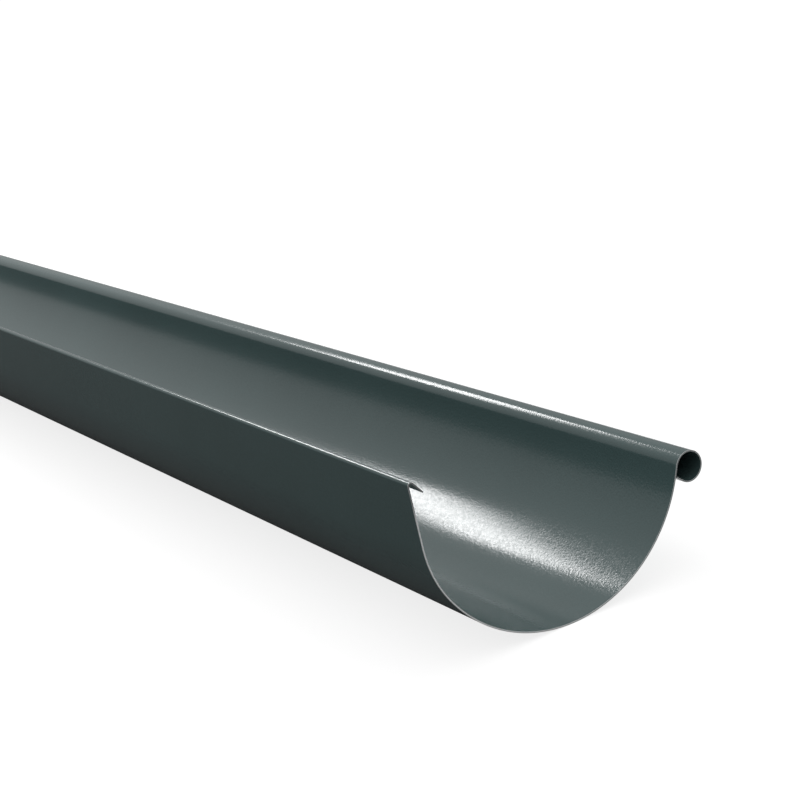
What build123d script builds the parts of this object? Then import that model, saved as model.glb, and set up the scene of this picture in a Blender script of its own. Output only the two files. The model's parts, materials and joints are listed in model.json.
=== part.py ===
"""Half-round eaves gutter: one length of roll-formed coated steel sheet.

In cross-section the sheet starts as a small lip folded into the trough, goes over the back edge,
down a straight leaning back wall, round the bottom, up the front and over into a rolled bead.
X runs along the gutter, Y points from the back wall to the bead and Z is up, in millimetres.
The gutter lies unheld on a level floor, rolled a little toward its heavier front edge, and the
origin is on the floor below the middle of its bounding box.
"""

import os
from math import acos, asin, atan, atan2, cos, degrees, hypot, radians, sin

from build123d import *

# Stock
gutter_length = 2000.0
sheet_thickness = 0.6

# Trough: a round front and bottom, then a slightly tighter turn into the straight back wall
trough_diameter = 125.0  # inside, across the round front
back_turn_radius = 49.5  # inside
back_turn_angle = 29.3
back_wall_lean = 14.8  # outward from upright
back_wall_length = 25.4  # straight run from the turn up to the fold

# Water fold along the back edge
fold_inside_radius = 0.8
fold_lip_slope = 39.8  # down into the trough, from level
fold_lip_length = 6.0

# Bead along the front edge
bead_diameter = 13.4  # outside
bead_drop = 4.9  # centre of the bead below the centre of the round front
bead_tail_length = 3.6  # straight end of the roll, under the bead
bead_edge_gap = 0.4  # between the sheet's free edge and the front wall

# Bend radii at the middle of the sheet
trough_radius = (trough_diameter + sheet_thickness) / 2
turn_radius = back_turn_radius + sheet_thickness / 2
fold_radius = fold_inside_radius + sheet_thickness / 2
bead_radius = (bead_diameter - sheet_thickness) / 2

# The round front passes into the bead where their two circles touch, and ends at the back
# where the tighter turn brings the wall to its lean
bead_centre_distance = trough_radius + bead_radius
front_start_angle = -degrees(asin(bead_drop / bead_centre_distance))
front_end_angle = back_wall_lean + back_turn_angle - 180.0
fold_angle = 90.0 + back_wall_lean + fold_lip_slope

# The bead rolls on until its straight tail brings the free edge up to the front wall
tail_reach = hypot(bead_radius, bead_tail_length)
edge_distance = trough_radius + sheet_thickness / 2 + bead_edge_gap
edge_angle = degrees(
    acos(
        (bead_centre_distance**2 + tail_reach**2 - edge_distance**2)
        / (2 * bead_centre_distance * tail_reach)
    )
)
bead_roll_angle = 360.0 - edge_angle - degrees(atan(bead_tail_length / bead_radius))


def sheet_side(inward):
    """Draw one side of the sheet from the fold's lip to the bead's tail and return its two ends.

    inward is the distance from the middle of the sheet toward the inside of the trough, which
    becomes the outside of the bead.
    """
    front = CenterArc(
        (0, 0), trough_radius - inward, front_end_angle, front_start_angle - front_end_angle
    )
    bead = JernArc(front @ 1, front % 1, bead_radius + inward, -bead_roll_angle)
    tail = Line(bead @ 1, bead @ 1 + (bead % 1) * bead_tail_length)
    back_turn = JernArc(front @ 0, (front % 0) * -1, turn_radius - inward, -back_turn_angle)
    back_wall = Line(back_turn @ 1, back_turn @ 1 + (back_turn % 1) * back_wall_length)
    fold = JernArc(back_wall @ 1, back_wall % 1, fold_radius - inward, -fold_angle)
    lip = Line(fold @ 1, fold @ 1 + (fold % 1) * fold_lip_length)
    return lip @ 1, tail @ 1


# Cross-section as the gutter hangs on a roof, with the centre of the round front at (0, 0)
with BuildSketch(Plane.XY) as sheet_section:
    with BuildLine():
        inner_lip_end, inner_tail_end = sheet_side(sheet_thickness / 2)
        outer_lip_end, outer_tail_end = sheet_side(-sheet_thickness / 2)
        Line(inner_lip_end, outer_lip_end)
        Line(inner_tail_end, outer_tail_end)
    make_face()

# Lying free, the gutter rolls on its round bottom until its weight is below the round's centre
weight_centre = sheet_section.sketch.face().center(CenterOf.MASS)
rest_roll = degrees(atan2(weight_centre.X, -weight_centre.Y))
resting_box = sheet_section.sketch.rotate(Axis.Z, -rest_roll).bounding_box()
section_plane = Plane(
    origin=(
        -gutter_length / 2,
        -(resting_box.min.X + resting_box.max.X) / 2,
        trough_radius + sheet_thickness / 2,
    ),
    x_dir=(0, cos(radians(rest_roll)), -sin(radians(rest_roll))),
    z_dir=(1, 0, 0),
)

os.makedirs("parts", exist_ok=True)

with BuildPart() as gutter_section:
    with BuildSketch(section_plane):
        add(sheet_section.sketch)
    extrude(amount=gutter_length)

gutter_section.part.label = "gutter_section"
export_step(gutter_section.part, "parts/gutter_section.step")
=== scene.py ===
"""Half-round gutter section: its sheet, its finishes, and a white studio seen as in the photograph.

All lengths are in metres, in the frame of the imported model. The section is described as the gutter
hangs on a roof, about the centre of its round front, and is then rolled to the way it lies.
"""

from __future__ import annotations

import json
import logging
import math
from dataclasses import dataclass, field
from enum import Enum, IntEnum
from typing import Any

import bmesh
import bpy
from mathutils import Matrix, Quaternion, Vector

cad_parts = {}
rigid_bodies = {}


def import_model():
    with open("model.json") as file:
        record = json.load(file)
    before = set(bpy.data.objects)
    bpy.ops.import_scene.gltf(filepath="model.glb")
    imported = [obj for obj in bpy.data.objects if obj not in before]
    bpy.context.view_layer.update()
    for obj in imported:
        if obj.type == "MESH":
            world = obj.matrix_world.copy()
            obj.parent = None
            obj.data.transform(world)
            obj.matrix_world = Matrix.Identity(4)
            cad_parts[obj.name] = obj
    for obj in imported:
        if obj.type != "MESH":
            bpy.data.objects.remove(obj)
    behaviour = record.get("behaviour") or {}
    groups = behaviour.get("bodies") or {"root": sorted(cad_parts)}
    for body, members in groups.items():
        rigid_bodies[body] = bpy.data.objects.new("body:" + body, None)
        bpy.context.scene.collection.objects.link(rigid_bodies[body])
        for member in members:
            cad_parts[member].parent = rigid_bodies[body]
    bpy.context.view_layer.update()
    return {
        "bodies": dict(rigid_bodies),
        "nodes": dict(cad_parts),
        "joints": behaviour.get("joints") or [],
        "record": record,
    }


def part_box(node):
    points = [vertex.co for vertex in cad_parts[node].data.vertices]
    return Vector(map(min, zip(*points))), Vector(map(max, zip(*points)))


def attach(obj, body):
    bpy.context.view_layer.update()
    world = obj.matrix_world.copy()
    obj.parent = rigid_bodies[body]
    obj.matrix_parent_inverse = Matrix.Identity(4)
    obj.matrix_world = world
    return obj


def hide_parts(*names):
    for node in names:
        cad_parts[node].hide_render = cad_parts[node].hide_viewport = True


log = logging.getLogger("gutter")

NODE = "gutter_section"
BODY = "root"

# Fewest straight pieces that an arc is drawn with
MIN_ARC_STEPS = 2

# A face whose normal lies along the gutter by more than this is part of a cut end
END_FACING = 0.7

# Farthest that a long sheared face's middle lies from the corner it starts at, in thicknesses
SHEARED_REACH = 0.6

# Ray Depth that a lamp's shader reads for a ray mirrored once, and twice, by the sheet
FIRST_IMAGE_DEPTH = 2.0
SECOND_IMAGE_DEPTH = 3.0

Colour = tuple[float, float, float]
Direction = tuple[float, float, float]
Point = tuple[float, float, float]
Span = tuple[float, float]


class Slot(IntEnum):
    """Material slots of the sheet."""

    COATED = 0
    CUT = 1
    WORN = 2


class Curve(Enum):
    """Ways from one end of a span to the other, as a Map Range node names them."""

    STRAIGHT = "LINEAR"
    SMOOTH = "SMOOTHSTEP"


@dataclass(frozen=True)
class Placement:
    """Where the section's centre lies and how far the gutter is rolled about its length."""

    centre_y: float
    centre_z: float
    roll: float
    near_x: float
    far_x: float

    @classmethod
    def from_frame(cls, frame: dict[str, Any], outside_radius: float) -> Placement:
        """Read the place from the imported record.

        Args:
            outside_radius: Radius of the outside of the round front.

        Returns:
            The placement of the hung section in the model's frame.
        """
        seat = next(m for m in frame["record"]["mounts"] if m["name"] == "bracket_seat")
        centre = Vector(seat["pos_m"]) - outside_radius * Vector(seat["axis"])
        low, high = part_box(NODE)
        roll = math.atan2(seat["axis"][1], -seat["axis"][2])
        return cls(centre.y, centre.z, roll, high[0], low[0])

    def matrix(self) -> Matrix:
        """Transform from the hung section, centred on its near end, to the model's frame."""
        centre = Matrix.Translation((self.near_x, self.centre_y, self.centre_z))
        return centre @ Matrix.Rotation(self.roll, 4, "X")


class Pen:
    """Draws a bent line by extruding one vertex at a time, always in the heading it has reached."""

    def __init__(self, bm: bmesh.types.BMesh, start: bmesh.types.BMVert, heading: float) -> None:
        """Start at a vertex.

        Args:
            bm: Mesh to draw in.
            start: Vertex the line begins at.
            heading: Angle of the first stretch from +Y toward +Z, in radians.
        """
        self.bm = bm
        self.tip = start
        self.heading = heading

    def straight(self, length: float) -> None:
        """Draw a straight stretch of the given length."""
        forward = Vector((0.0, math.cos(self.heading), math.sin(self.heading)))
        new = bmesh.ops.extrude_vert_indiv(self.bm, verts=[self.tip])["verts"]
        bmesh.ops.translate(self.bm, verts=new, vec=forward * length)
        self.tip = new[0]

    def bend(self, radius: float, angle: float, step: float) -> None:
        """Draw an arc that leaves along the heading and turns from +Z toward +Y.

        Args:
            radius: Radius of the arc.
            angle: Angle turned, in radians.
            step: Largest angle of one straight piece of the arc, in radians.
        """
        right = Vector((0.0, math.sin(self.heading), -math.cos(self.heading)))
        ring = bmesh.ops.spin(
            self.bm,
            geom=[self.tip],
            cent=self.tip.co + right * radius,
            axis=(1.0, 0.0, 0.0),
            dvec=(0.0, 0.0, 0.0),
            angle=-angle,
            steps=max(MIN_ARC_STEPS, math.ceil(angle / step)),
            use_duplicate=False,
        )
        self.tip = next(g for g in ring["geom_last"] if isinstance(g, bmesh.types.BMVert))
        self.heading -= angle


class NodeBench:
    """Adds shader nodes to a tree, with their values and links given in one call."""

    def __init__(self, tree: bpy.types.NodeTree) -> None:
        """Work on the given tree."""
        self.tree = tree

    def feed(self, node: bpy.types.Node, inputs: dict[str | int, Any]) -> None:
        """Set a node's inputs, or link those that are given another node's output.

        Args:
            node: Node to feed.
            inputs: Values and outputs, by the input's name or number.
        """
        for key, value in inputs.items():
            if isinstance(value, bpy.types.NodeSocket):
                self.tree.links.new(value, node.inputs[key])
            else:
                node.inputs[key].default_value = value

    def add(
        self, kind: str, inputs: dict[str | int, Any] | None = None, **options: str
    ) -> bpy.types.Node:
        """Add a node and feed it.

        Args:
            kind: The node's type, without the ShaderNode in front of it.
            inputs: Values and outputs, by the input's name or number.
            **options: Choices that are the node's own, such as its operation.

        Returns:
            The new node.
        """
        node = self.tree.nodes.new("ShaderNode" + kind)
        for name, choice in options.items():
            setattr(node, name, choice)
        self.feed(node, inputs or {})
        return node

    def place(self, kind: str = "Object") -> bpy.types.NodeSocket:
        """Add a source of coordinates of the given kind, and return its output."""
        return self.add("TexCoord").outputs[kind]

    def axes(self) -> dict[str, bpy.types.NodeSocket]:
        """Split the Object coordinates.

        Returns:
            The outputs for X, Y and Z by these names.
        """
        return dict(self.add("SeparateXYZ", {"Vector": self.place()}).outputs.items())

    def maths(self, operation: str, first: Any, second: Any) -> bpy.types.NodeSocket:
        """Work out one number from two.

        Args:
            operation: What is done with them, as a Math node names it.
            first: Number or output.
            second: Number or output.

        Returns:
            The output with the result.
        """
        return self.add("Math", {0: first, 1: second}, operation=operation).outputs["Value"]

    def dot(self, vector: bpy.types.NodeSocket, toward: Direction) -> bpy.types.NodeSocket:
        """Add the dot product of a vector and a fixed direction, and return its output."""
        node = self.add("VectorMath", {0: vector, 1: toward}, operation="DOT_PRODUCT")
        return node.outputs["Value"]

    def remap(
        self,
        value: bpy.types.NodeSocket,
        span: Span = (0.0, 1.0),
        onto: Span = (0.0, 1.0),
        curve: Curve = Curve.STRAIGHT,
    ) -> bpy.types.NodeSocket:
        """Map a number from one span onto another, and hold it at the ends.

        Args:
            value: Number to map.
            span: Where it starts and ends.
            onto: What it becomes there.
            curve: How it gets from one to the other.

        Returns:
            The output with the mapped number.
        """
        names = ("Value", "From Min", "From Max", "To Min", "To Max")
        inputs = dict(zip(names, (value, *span, *onto)))
        return self.add("MapRange", inputs, interpolation_type=curve.value).outputs["Result"]

    def ramp(
        self, value: bpy.types.NodeSocket, first: Colour, last: Colour, span: Span = (0.0, 1.0)
    ) -> bpy.types.NodeSocket:
        """Fade from one colour to another.

        Args:
            value: Number to fade by.
            first: Colour up to the start of the span.
            last: Colour from the end of the span.
            span: Where the fade starts and ends.

        Returns:
            The output with the colour.
        """
        node = self.add("ValToRGB", {"Fac": value})
        for stop, position, colour in zip(node.color_ramp.elements, span, (first, last)):
            stop.position = position
            stop.color = (*colour, 1.0)
        return node.outputs["Color"]

    def noise(
        self, place: bpy.types.NodeSocket, scale: float, detail: float
    ) -> bpy.types.NodeSocket:
        """Add a noise over the given coordinates, and return its output."""
        return self.add(
            "TexNoise", {"Vector": place, "Scale": scale, "Detail": detail}
        ).outputs["Fac"]

    def bump(
        self,
        height: bpy.types.NodeSocket,
        distance: float,
        under: bpy.types.NodeSocket | None = None,
    ) -> bpy.types.NodeSocket:
        """Raise the surface by a height map.

        Args:
            height: Height from 0 to 1.
            distance: Length that a height of 1 stands for.
            under: Normal of a coarser bump that this one lies on.

        Returns:
            The output with the bent normal.
        """
        lies_on = {} if under is None else {"Normal": under}
        inputs = {"Height": height, "Distance": distance, **lies_on}
        return self.add("Bump", inputs).outputs["Normal"]

    def white_share(self, in_sheen: bpy.types.NodeSocket) -> bpy.types.NodeSocket:
        """Tell how white a background is to the ray that meets it.

        Args:
            in_sheen: How white it is to glossy rays.

        Returns:
            The output with the share: 1 for camera and transmission rays, in_sheen for glossy
            rays, and 0 for all others.
        """
        ray = self.add("LightPath").outputs
        through = self.maths("MAXIMUM", ray["Is Camera Ray"], ray["Is Transmission Ray"])
        sheen = self.maths("MULTIPLY", in_sheen, ray["Is Glossy Ray"])
        return self.maths("MAXIMUM", sheen, through)


def grey(level: float) -> tuple[float, float, float, float]:
    """Opaque grey of the given level, as a colour input takes it."""
    return (level, level, level, 1.0)


def new_material(name: str) -> tuple[bpy.types.Material, NodeBench]:
    """Make a material with Blender's own first nodes.

    Args:
        name: The material's name.

    Returns:
        The material, and a bench for its node tree.
    """
    material = bpy.data.materials.new(name)
    material.use_nodes = True
    return material, NodeBench(material.node_tree)


@dataclass(frozen=True)
class CoilCoating:
    """Satin polyester coating in dark grey-green, with the fine grain of a roll-coated sheet.

    The tone drifts in clouds. Small specks differ in gloss and a little in tint, and the surface
    has a fine grain on a slow ripple.
    """

    name: str = "coil_coating"
    colour: Colour = (0.050, 0.083, 0.083)
    ior: float = 1.5
    sheen_level: float = 0.34
    roughness: float = 0.17
    cloud_scale: float = 9.0
    cloud_detail: float = 3.0
    cloud_span: Span = (0.35, 0.65)
    cloud_shade: float = 0.06
    speck_size: float = 0.0006
    speck_gloss: float = 0.065
    speck_tint: float = 0.04
    relief_detail: float = 1.0
    grain_size: float = 0.001
    grain_height: float = 0.00004
    ripple_size: float = 0.012
    ripple_height: float = 0.00001

    def build(self) -> bpy.types.Material:
        """Make the coating's material.

        Returns:
            A material that reads the piece's Object coordinates.
        """
        material, bench = new_material(self.name)
        place = bench.place()
        cells = bench.add("TexVoronoi", {"Vector": place, "Scale": 1.0 / self.speck_size})
        speck = bench.add("SeparateColor", {"Color": cells.outputs["Color"]}).outputs["Red"]
        glossy_to_dull = (self.roughness - self.speck_gloss, self.roughness + self.speck_gloss)
        bench.feed(
            material.node_tree.nodes["Principled BSDF"],
            {
                "IOR": self.ior,
                "Specular IOR Level": self.sheen_level,
                "Base Color": self.tint(bench, place, speck),
                "Roughness": bench.remap(speck, onto=glossy_to_dull),
                "Normal": self.relief(bench, place),
            },
        )
        return material

    def tint(
        self, bench: NodeBench, place: bpy.types.NodeSocket, speck: bpy.types.NodeSocket
    ) -> bpy.types.NodeSocket:
        """Vary the colour by cloud and by speck.

        Args:
            bench: Bench of the coating's material.
            place: Object coordinates.
            speck: Number from 0 to 1 for each speck.

        Returns:
            The output with the colour.
        """
        cloud = bench.noise(place, self.cloud_scale, self.cloud_detail)
        dark, light = (
            tuple(c * (1.0 + shade) for c in self.colour)
            for shade in (-self.cloud_shade, self.cloud_shade)
        )
        tone = bench.ramp(cloud, dark, light, self.cloud_span)
        factor = bench.remap(speck, onto=(1.0 + self.speck_tint, 1.0 - self.speck_tint))
        scaled = bench.add("VectorMath", {0: tone, "Scale": factor}, operation="SCALE")
        return scaled.outputs["Vector"]

    def relief(self, bench: NodeBench, place: bpy.types.NodeSocket) -> bpy.types.NodeSocket:
        """Lay the fine grain on the ripple.

        Args:
            bench: Bench of the coating's material.
            place: Object coordinates.

        Returns:
            The output with the bent normal.
        """
        ripple = bench.noise(place, 1.0 / self.ripple_size, self.relief_detail)
        wave = bench.bump(ripple, self.ripple_height)
        grain = bench.noise(place, 1.0 / self.grain_size, self.relief_detail)
        return bench.bump(grain, self.grain_height, under=wave)


@dataclass(frozen=True)
class CutSteelAndPaintedLight:
    """Zinc and steel laid bare, with painted light: bright on the back wall as a painted highlight,
    and darker toward the front and the top as painted shade.

    The darker of two fades counts: one across the gutter in Y, and one up in Z.
    """

    name: str
    # The first colour is the painted highlight on the back wall, and the second is the painted shade
    # toward the front and the top
    bright: Colour
    painted_shade: Colour
    roughness: float
    metallic: float = 0.2
    fade_across: Span = (-0.05, 0.045)
    fade_upward: Span = (0.064, 0.072)
    burr_size: float = 0.0004
    burr_height: float = 0.00002
    burr_detail: float = 2.0

    def build(self) -> bpy.types.Material:
        """Make the bare metal's material, with its painted highlight and painted shade.

        Returns:
            A material that reads the piece's Object coordinates.
        """
        material, bench = new_material(self.name)
        at = bench.axes()
        across = bench.remap(at["Y"], self.fade_across)
        upward = bench.remap(at["Z"], self.fade_upward)
        burr = bench.noise(bench.place(), 1.0 / self.burr_size, self.burr_detail)
        bench.feed(
            material.node_tree.nodes["Principled BSDF"],
            {
                "Metallic": self.metallic,
                "Roughness": self.roughness,
                # The colour paints light: a painted highlight on the back wall's cut edges, fading
                # into painted shade toward the front and the top
                "Base Color": bench.ramp(
                    bench.maths("MAXIMUM", across, upward), self.bright, self.painted_shade
                ),
                "Normal": bench.bump(burr, self.burr_height),
            },
        )
        return material


# The cut faces and the rounded edges both carry this painted highlight and painted shade
CUT_STEEL_AND_PAINTED_LIGHT = CutSteelAndPaintedLight(
    name="cut_steel_and_painted_light", bright=(0.86, 0.88, 0.88), painted_shade=(0.16, 0.17, 0.17), roughness=0.45
)
WORN_EDGE_AND_PAINTED_LIGHT = CutSteelAndPaintedLight(
    name="worn_edge_and_painted_light", bright=(0.86, 0.88, 0.88), painted_shade=(0.5, 0.52, 0.52), roughness=0.3
)


@dataclass
class GutterSheet:
    """The roll-formed sheet: fold, back wall, round trough and rolled bead in one strip."""

    thickness: float = 0.0006
    trough_diameter: float = 0.125
    back_turn_radius: float = 0.0495
    back_turn_angle: float = math.radians(29.3)
    back_wall_lean: float = math.radians(14.8)
    back_wall_length: float = 0.0254
    fold_inside_radius: float = 0.0008
    fold_lip_slope: float = math.radians(39.8)
    fold_lip_length: float = 0.006
    bead_diameter: float = 0.0134
    bead_drop: float = 0.0049
    bead_tail_length: float = 0.0036
    bead_edge_gap: float = 0.0004
    edge_break: float = 0.00014
    edge_break_segments: int = 2
    trough_step: float = math.radians(1.5)
    bead_step: float = math.radians(5.0)
    fold_step: float = math.radians(9.0)
    sharp_angle: float = math.radians(20.0)
    coating: CoilCoating = field(default_factory=CoilCoating)
    cut: CutSteelAndPaintedLight = CUT_STEEL_AND_PAINTED_LIGHT
    worn: CutSteelAndPaintedLight = WORN_EDGE_AND_PAINTED_LIGHT

    @property
    def outside_radius(self) -> float:
        """Radius of the outside of the round front."""
        return self.trough_diameter / 2 + self.thickness

    def bead_centre_distance(self) -> float:
        """Distance from the centre of the round front to the centre of the bead."""
        return (self.trough_diameter + self.bead_diameter) / 2

    def front_angle(self) -> float:
        """Angle from +Y at which the round front passes into the bead, in radians."""
        return -math.asin(self.bead_drop / self.bead_centre_distance())

    def bead_roll(self) -> float:
        """Work out how far the bead's arc turns before its straight tail.

        Returns:
            The angle that brings the free edge up to the gap at the front wall, in radians.
        """
        middle = (self.bead_diameter - self.thickness) / 2
        far = self.bead_centre_distance()
        reach = math.hypot(middle, self.bead_tail_length)
        edge = self.outside_radius + self.bead_edge_gap
        cosine = (far**2 + reach**2 - edge**2) / (2 * far * reach)
        return 2 * math.pi - math.acos(cosine) - math.atan(self.bead_tail_length / middle)

    def draw_section(self, bm: bmesh.types.BMesh) -> list[Vector]:
        """Draw the side of the sheet that lines the trough, at the near end.

        Args:
            bm: Empty mesh to draw in.

        Returns:
            Where the lip and the bead's tail end.
        """
        start_angle = self.front_angle()
        inside = self.trough_diameter / 2
        start = bm.verts.new((0.0, inside * math.cos(start_angle), inside * math.sin(start_angle)))
        up = start_angle + math.pi / 2

        bead = Pen(bm, start, up)
        bead.bend(self.bead_diameter / 2, self.bead_roll(), self.bead_step)
        bead.straight(self.bead_tail_length)

        trough = Pen(bm, start, up - math.pi)
        round_front = math.pi + start_angle - self.back_wall_lean - self.back_turn_angle
        trough.bend(inside, round_front, self.trough_step)
        trough.bend(self.back_turn_radius, self.back_turn_angle, self.trough_step)
        trough.straight(self.back_wall_length)
        turned = math.pi / 2 + self.back_wall_lean + self.fold_lip_slope
        trough.bend(self.fold_inside_radius, turned, self.fold_step)
        trough.straight(self.fold_lip_length)
        return [trough.tip.co.copy(), bead.tip.co.copy()]

    def build(self, placement: Placement) -> bpy.types.Object:
        """Build the whole sheet where the gutter lies.

        Args:
            placement: Place and roll of the section.

        Returns:
            The finished object, at the origin, with its place in its mesh.
        """
        bm = bmesh.new()
        free_edges = self.draw_section(bm)
        drawn = bmesh.ops.extrude_edge_only(bm, edges=bm.edges[:])
        far = [g for g in drawn["geom"] if isinstance(g, bmesh.types.BMVert)]
        bmesh.ops.translate(bm, verts=far, vec=(placement.far_x - placement.near_x, 0.0, 0.0))
        self.thicken(bm)
        self.mark_cut_faces(bm, free_edges)
        self.break_edges(bm)
        bm.transform(placement.matrix())

        mesh = bpy.data.meshes.new("gutter_sheet")
        bm.to_mesh(mesh)
        bm.free()
        mesh.shade_smooth()
        mesh.set_sharp_from_angle(angle=self.sharp_angle)
        finishes = {Slot.COATED: self.coating, Slot.CUT: self.cut, Slot.WORN: self.worn}
        for slot in Slot:
            mesh.materials.append(finishes[slot].build())
        piece = bpy.data.objects.new("gutter_sheet", mesh)
        bpy.context.scene.collection.objects.link(piece)
        return piece

    def thicken(self, bm: bmesh.types.BMesh) -> None:
        """Add the sheet's thickness on the side away from the trough.

        Args:
            bm: Mesh of the side that lines the trough.
        """
        bmesh.ops.recalc_face_normals(bm, faces=bm.faces[:])
        lowest = min(bm.faces, key=lambda f: f.calc_center_median().z)
        if lowest.normal.z < 0:
            bmesh.ops.reverse_faces(bm, faces=bm.faces[:])
        bmesh.ops.solidify(bm, geom=bm.faces[:], thickness=self.thickness)
        bmesh.ops.recalc_face_normals(bm, faces=bm.faces[:])

    def mark_cut_faces(self, bm: bmesh.types.BMesh, free_edges: list[Vector]) -> None:
        """Give the sheared faces their material slot.

        Args:
            bm: Mesh of the thick sheet, in the hung section's frame.
            free_edges: Where the lip and the bead's tail end.
        """
        for face in bm.faces:
            middle = face.calc_center_median()
            middle.x = 0.0
            reach = SHEARED_REACH * self.thickness
            long_edge = any((middle - edge).length < reach for edge in free_edges)
            cut = long_edge or abs(face.normal.x) > END_FACING
            face.material_index = Slot.CUT if cut else Slot.COATED

    def break_edges(self, bm: bmesh.types.BMesh) -> None:
        """Round the sheared edges a little, where the coating is worn off too.

        Args:
            bm: Mesh of the thick sheet, with its cut faces marked.
        """
        sheared = [
            e
            for e in bm.edges
            if len(e.link_faces) == 2
            and e.link_faces[0].material_index != e.link_faces[1].material_index
        ]
        rounded = bmesh.ops.bevel(
            bm,
            geom=sheared,
            offset=self.edge_break,
            offset_type="OFFSET",
            segments=self.edge_break_segments,
            profile=0.5,
            affect="EDGES",
            material=-1,
            clamp_overlap=True,
        )
        # The rounded edges are bare metal, and their material also paints a highlight on the back
        # wall and shade toward the front and the top
        for face in rounded["faces"]:
            face.material_index = Slot.WORN


@dataclass(frozen=True)
class Softbox:
    """A soft lamp over the gutter, which lights each part of it once.

    It shows in the sheet as a bright band. Where the sheet mirrors that band again, second_image
    is the share of the lamp that is left.
    """

    place: Point = (-0.449, 0.031, 0.93)
    aim: Point = (0.85, 0.0, 0.02)
    width: float = 0.442
    height: float = 0.24
    tilt: float = -0.58
    radiance: float = 16.4
    second_image: float = 0.4

    def build(self) -> bpy.types.Object:
        """Hang the lamp.

        Returns:
            The lamp's object.
        """
        data = bpy.data.lights.new("overhead_softbox", "AREA")
        data.shape = "RECTANGLE"
        data.size = self.width
        data.size_y = self.height
        # The power at which every part of the lamp's face has this radiance
        data.energy = self.radiance * math.pi * self.width * self.height
        data.cycles.max_bounces = 0
        data.use_nodes = True
        bench = NodeBench(data.node_tree)
        depth = bench.add("LightPath").outputs["Ray Depth"]
        images = (FIRST_IMAGE_DEPTH, SECOND_IMAGE_DEPTH)
        strength = bench.remap(depth, images, (1.0, self.second_image))
        bench.feed(data.node_tree.nodes["Emission"], {"Strength": strength})

        lamp = bpy.data.objects.new("overhead_softbox", data)
        away = Vector(self.place) - Vector(self.aim)
        turn = away.to_track_quat("Z", "Y") @ Quaternion((0.0, 0.0, 1.0), self.tilt)
        lamp.location = self.place
        lamp.rotation_euler = turn.to_euler()
        lamp.visible_camera = False
        bpy.context.scene.collection.objects.link(lamp)
        return lamp


@dataclass(frozen=True)
class StudioFloor:
    """A wide pale floor that looks white and keeps the gutter's soft shadow.

    It is white to the camera. Beyond the gutter it is white in the coating's sheen too, and
    lights the gutter as pale paper does. On the camera's side it is dark ground to both.
    """

    half_width: float = 30.0
    own_white: float = 0.8
    lit_white: float = 0.3
    near_ground: float = 0.155
    far_ground: float = 0.8
    beyond_gutter: Span = (-0.02, 0.15)

    def build(self) -> bpy.types.Object:
        """Lay the floor at height zero.

        Returns:
            The floor's object.
        """
        bm = bmesh.new()
        bmesh.ops.create_grid(bm, x_segments=1, y_segments=1, size=self.half_width)
        mesh = bpy.data.meshes.new("floor")
        bm.to_mesh(mesh)
        bm.free()
        mesh.materials.append(self.material())
        floor = bpy.data.objects.new("floor", mesh)
        bpy.context.scene.collection.objects.link(floor)
        return floor

    def material(self) -> bpy.types.Material:
        """Mix the floor's own white with the ground that lights the gutter.

        Returns:
            The floor's material.
        """
        material, bench = new_material("floor")
        nodes = material.node_tree.nodes
        nodes.remove(nodes["Principled BSDF"])
        beyond = bench.remap(bench.axes()["Y"], self.beyond_gutter, curve=Curve.SMOOTH)
        tone = bench.remap(beyond, onto=(self.near_ground, self.far_ground))
        ground = bench.add("BsdfDiffuse", {"Color": tone})
        paper = bench.add("BsdfDiffuse", {"Color": grey(self.lit_white)})
        glow = bench.add("Emission", {"Color": grey(self.own_white)})
        white = bench.add("AddShader", {0: paper.outputs["BSDF"], 1: glow.outputs["Emission"]})
        seen = bench.add(
            "MixShader",
            {
                "Fac": bench.white_share(beyond),
                1: ground.outputs["BSDF"],
                2: white.outputs["Shader"],
            },
        )
        bench.feed(nodes["Material Output"], {"Surface": seen.outputs["Shader"]})
        return material


@dataclass(frozen=True)
class WhiteDome:
    """The studio round the gutter: white to the camera, and a soft light from above.

    The light is strongest in one direction and fades to a dark surround opposite to it. A white
    wall low beyond the gutter shows in the coating's sheen alone.
    """

    zenith: float = 1.17
    surround: float = 0.02
    brightest: Direction = (-0.15, -0.15, 0.977)
    fade: Span = (-0.4, 1.1)
    wall_toward: Direction = (0.36, 0.925, 0.12)
    wall_fade: Span = (0.85, 0.985)

    def build(self) -> bpy.types.World:
        """Make the world.

        Returns:
            The world, white to the camera in every direction.
        """
        world = bpy.data.worlds.new("white_dome")
        world.use_nodes = True
        bench = NodeBench(world.node_tree)
        direction = bench.place("Generated")
        height = bench.dot(direction, self.brightest)
        light = bench.remap(height, self.fade, (self.surround, self.zenith), Curve.SMOOTH)
        toward = bench.dot(direction, self.wall_toward)
        wall = bench.remap(toward, self.wall_fade, curve=Curve.SMOOTH)
        seen = bench.maths("MAXIMUM", light, bench.white_share(wall))
        bench.feed(world.node_tree.nodes["Background"], {"Color": seen})
        return world


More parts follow.
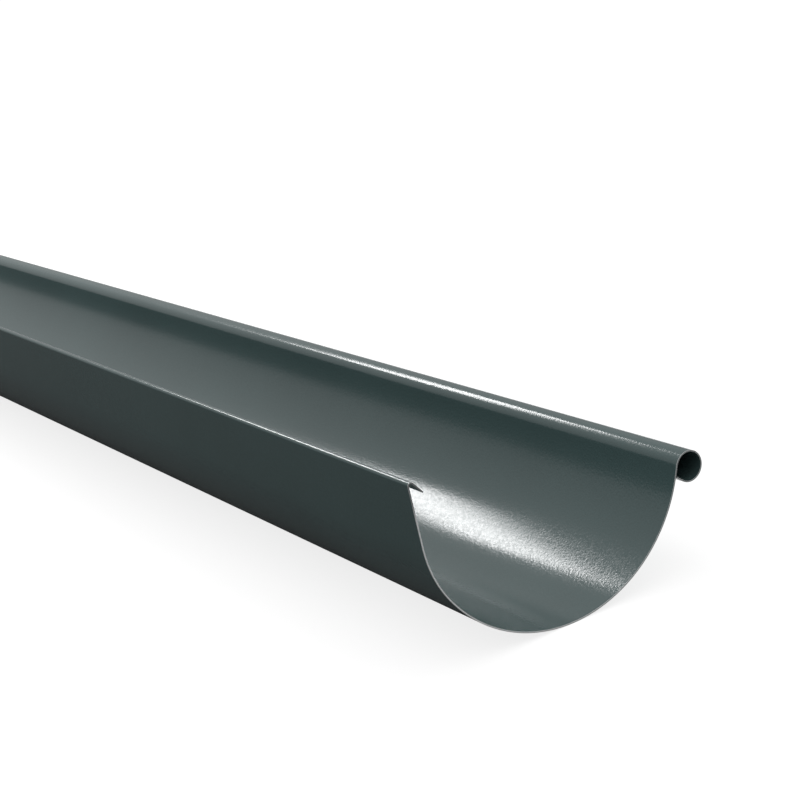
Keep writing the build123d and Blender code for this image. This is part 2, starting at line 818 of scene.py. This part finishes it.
@dataclass(frozen=True)
class PhotographCamera:
    """The photograph's camera, placed from the near end of the gutter as it hangs.

    Its lens and sensor are in millimetres, as Blender takes them.
    """

    standpoint: Point = (0.5678, -0.4095, 0.1619)
    azimuth: float = math.radians(58.946)
    elevation: float = math.radians(10.775)
    lens: float = 83.54
    sensor_width: float = 36.0
    clip_start: float = 0.01
    clip_end: float = 100.0

    def build(self, placement: Placement) -> bpy.types.Object:
        """Set up the camera, rolled together with the gutter.

        Args:
            placement: Place and roll of the section.

        Returns:
            The camera's object.
        """
        back = Vector(
            (
                math.sin(self.azimuth) * math.cos(self.elevation),
                -math.cos(self.azimuth) * math.cos(self.elevation),
                math.sin(self.elevation),
            )
        )
        right = Vector((0.0, 0.0, 1.0)).cross(back).normalized()
        up = back.cross(right)
        pose = Matrix((right, up, back)).transposed().to_4x4()
        pose.translation = self.standpoint
        data = bpy.data.cameras.new("photograph")
        data.sensor_width = self.sensor_width
        data.lens = self.lens
        data.clip_start = self.clip_start
        data.clip_end = self.clip_end
        camera = bpy.data.objects.new("photograph", data)
        camera.matrix_world = placement.matrix() @ pose
        bpy.context.scene.collection.objects.link(camera)
        bpy.context.scene.camera = camera
        return camera


@dataclass
class Studio:
    """Floor, dome, softbox and camera round the gutter."""

    floor: StudioFloor = field(default_factory=StudioFloor)
    dome: WhiteDome = field(default_factory=WhiteDome)
    key: Softbox = field(default_factory=Softbox)
    camera: PhotographCamera = field(default_factory=PhotographCamera)

    def build(self, placement: Placement) -> None:
        """Set up the whole studio.

        Args:
            placement: Place and roll of the section.
        """
        scene = bpy.context.scene
        scene.view_settings.view_transform = "Standard"
        scene.world = self.dome.build()
        self.floor.build()
        self.key.build()
        self.camera.build(placement)


def main() -> None:
    """Load the frame, build the gutter and its studio, and note the sizes."""
    logging.basicConfig(level=logging.INFO, format="%(name)s: %(message)s")
    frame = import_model()
    sheet = GutterSheet()
    placement = Placement.from_frame(frame, sheet.outside_radius)
    piece = sheet.build(placement)
    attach(piece, BODY)
    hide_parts(NODE)
    log.info("gutter_sheet: %d faces", len(piece.data.polygons))
    Studio().build(placement)
    log.info("studio: floor, dome, softbox and camera")


if __name__ == "__main__":
    main()
